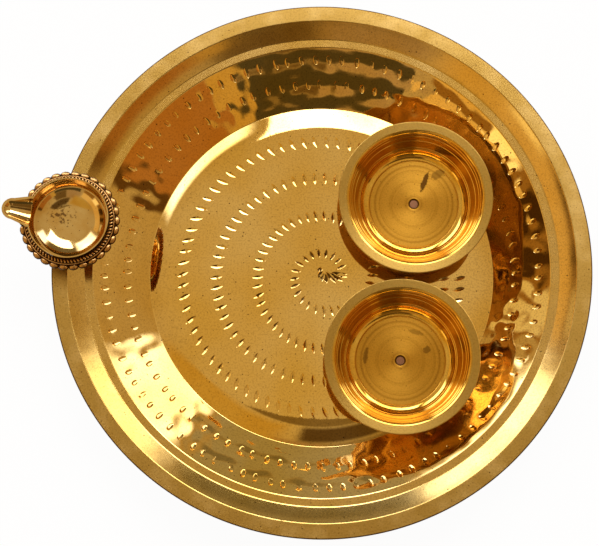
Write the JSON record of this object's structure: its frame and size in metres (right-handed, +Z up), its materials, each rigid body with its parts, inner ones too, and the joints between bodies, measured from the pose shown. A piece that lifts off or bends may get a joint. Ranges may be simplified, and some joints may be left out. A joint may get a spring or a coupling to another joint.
{
  "type": "puja thali",
  "caption": "Round brass ritual tray with a stepped rim and chiselled floor, carrying riveted offering bowls and a spouted oil lamp on its lip.",
  "frame": {"origin": "on the tray's axis, on the plane that the tray stands on", "axes": "+Z up, +X to the right and +Y to the back as the picture shows the tray; the lamp is on the -X side"},
  "size_m": [0.2922, 0.27, 0.048],
  "materials": {
    "tray_brass": "polished spun brass with a satin lip and hand-chiselled marks",
    "bowl_brass": "polished turned brass with fine turning rings",
    "rivet_copper": "hammered copper, slightly tarnished",
    "washer_brass": "plain stamped brass",
    "lamp_bronze": "polished cast bronze",
    "collar_bronze": "cast bronze with dark patina in the recesses",
    "screw_brass": "turned brass"
  },
  "bodies": {
    "thali": {"thali_plate": "tray_brass", "upper_bowl_rivet": "rivet_copper", "lower_bowl_rivet": "rivet_copper", "upper_rivet_washer": "washer_brass", "lower_rivet_washer": "washer_brass", "lamp_screw_washer": "washer_brass"},
    "upper_bowl": {"upper_bowl": "bowl_brass"},
    "lower_bowl": {"lower_bowl": "bowl_brass"},
    "lamp": {"lamp_cup": "lamp_bronze", "lamp_collar": "collar_bronze", "lamp_screw": "screw_brass"}
  },
  "joints": [
    {"name": "upper_bowl_turn", "type": "hinge", "parent": "thali", "child": "upper_bowl", "pos_m": [0.04749, 0.03634, 0.0037], "axis": [0, 0, 1], "continuous": true},
    {"name": "lower_bowl_turn", "type": "hinge", "parent": "thali", "child": "lower_bowl", "pos_m": [0.03984, -0.0446, 0.0037], "axis": [0, 0, 1], "continuous": true},
    {"name": "lamp_swivel", "type": "hinge", "parent": "thali", "child": "lamp", "pos_m": [-0.12939, 0.02142, 0.027], "axis": [0, 0, 1], "continuous": true}
  ]
}
